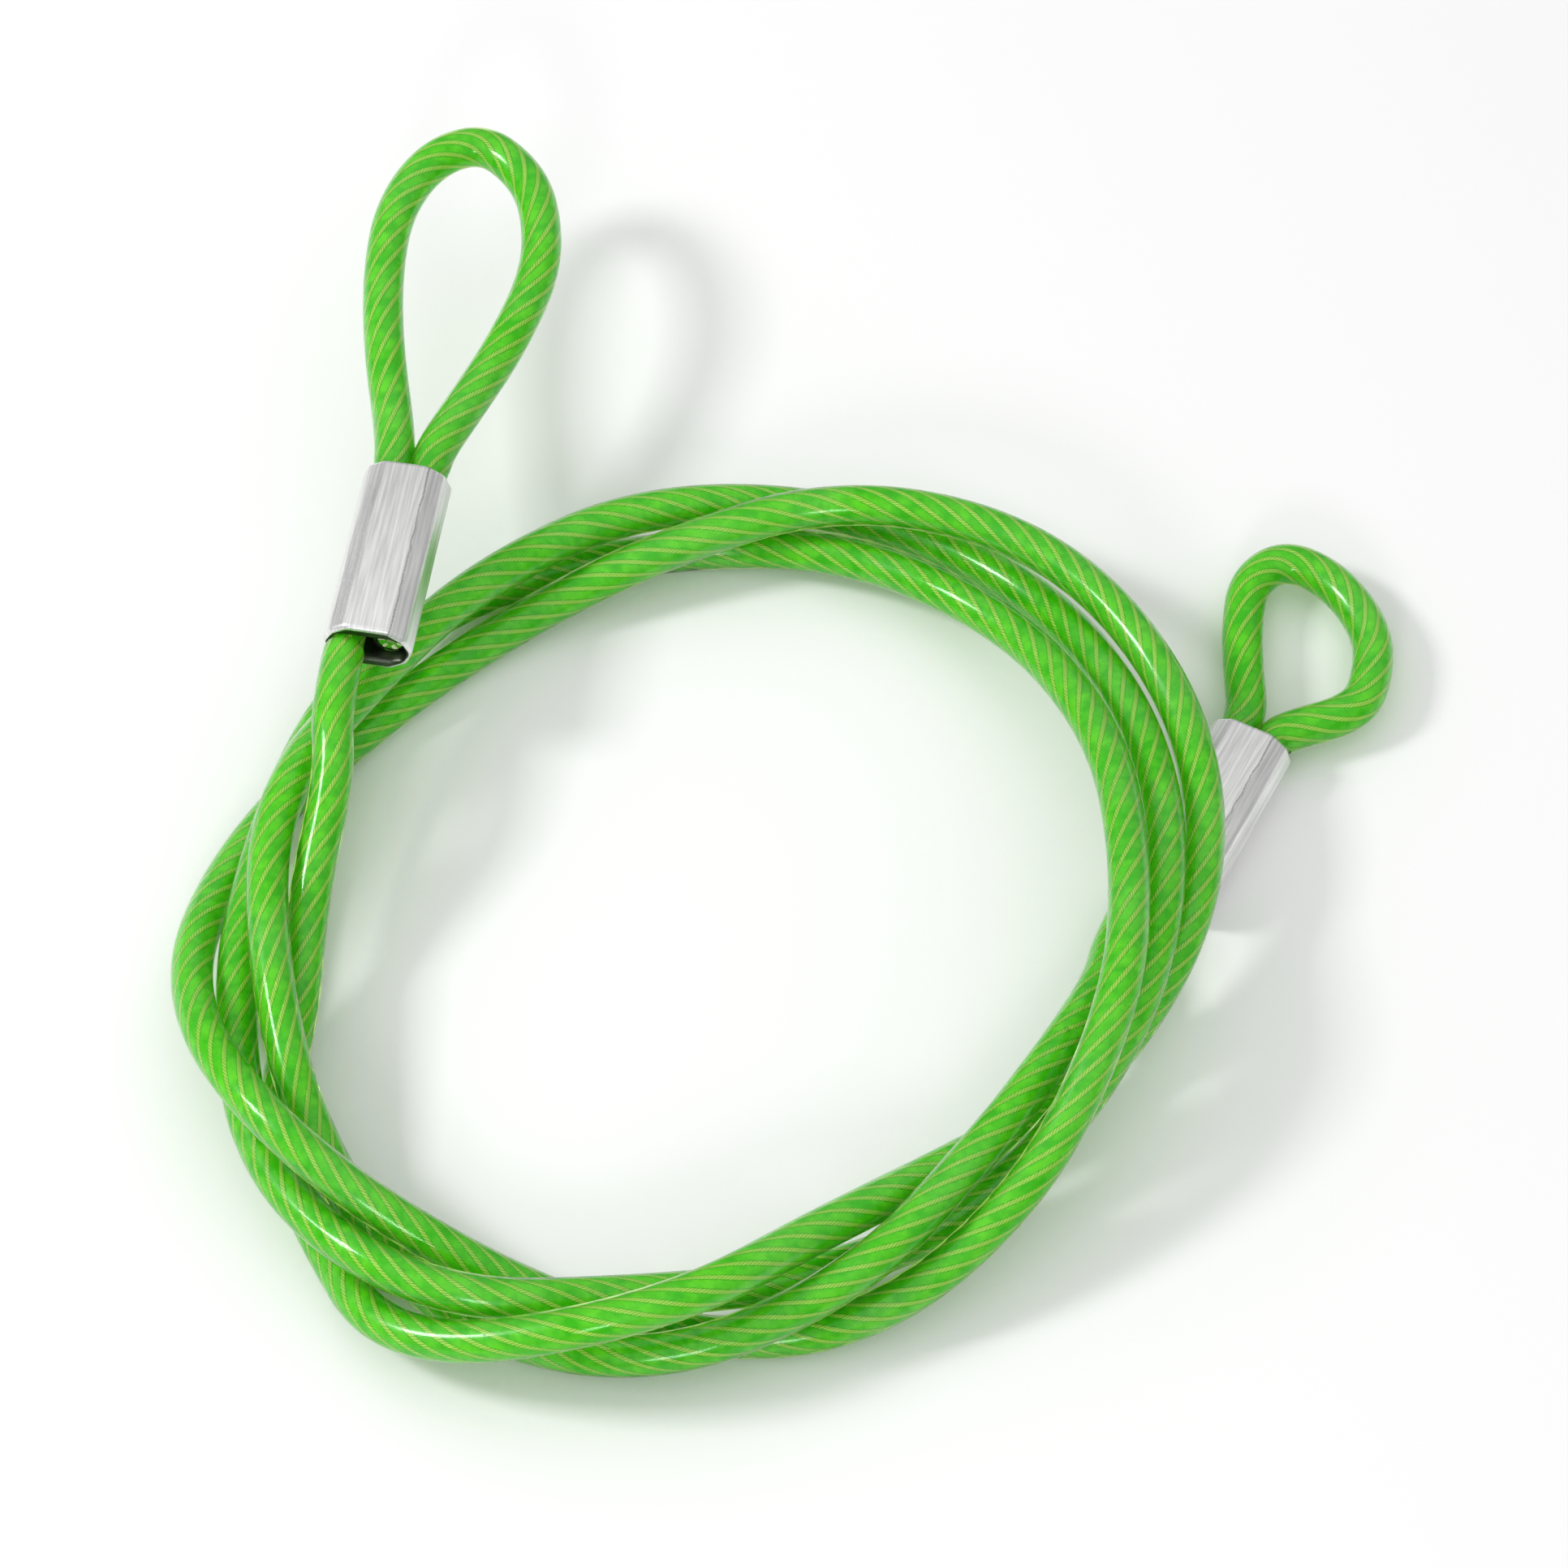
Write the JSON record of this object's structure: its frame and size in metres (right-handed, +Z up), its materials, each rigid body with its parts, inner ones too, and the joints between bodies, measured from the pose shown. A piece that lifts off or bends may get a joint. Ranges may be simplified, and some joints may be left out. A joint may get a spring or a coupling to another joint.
{
  "type": "cable lock",
  "caption": "Loose coil of jacketed steel cable whose two ends turn back through crimped ferrules to make soft eyes for a padlock or another cable",
  "frame": {"origin": "the middle of the bounding box's base, on the ground that the coil lies on", "axes": "+Z up, +Y along the whole part towards the upper eye, +X towards the side eye"},
  "size_m": [0.1467, 0.1702, 0.0234],
  "materials": {
    "jacket": "clear green soft plastic, glossy, with the rope's strands showing through",
    "wire_rope": "galvanised steel strands",
    "ferrule": "bare aluminium, crimped to lengthwise flats"
  },
  "bodies": {
    "coil": {"coil_jacket": "jacket", "coil_wire_rope": "wire_rope"},
    "upper_end": {"upper_tail_jacket": "jacket", "upper_tail_wire_rope": "wire_rope", "upper_ferrule": "ferrule", "upper_eye_jacket": "jacket", "upper_eye_wire_rope": "wire_rope"},
    "side_end": {"side_tail_jacket": "jacket", "side_tail_wire_rope": "wire_rope", "side_ferrule": "ferrule", "side_eye_jacket": "jacket", "side_eye_wire_rope": "wire_rope"}
  },
  "joints": [
    {"name": "upper_end_flex", "type": "hinge", "parent": "coil", "child": "upper_end", "pos_m": [-0.0572, -0.0221, 0.0112], "axis": [1, 0, 0], "range_deg": [0, 45], "stiffness_Nm_per_rad": 0.2, "deforming": ["upper_tail_jacket", "upper_tail_wire_rope"]},
    {"name": "side_end_flex", "type": "hinge", "parent": "coil", "child": "side_end", "pos_m": [0.0416, -0.0175, 0.004], "axis": [0, 0, -1], "range_deg": [0, 20], "stiffness_Nm_per_rad": 0.2, "deforming": ["side_tail_jacket", "side_tail_wire_rope"]}
  ]
}
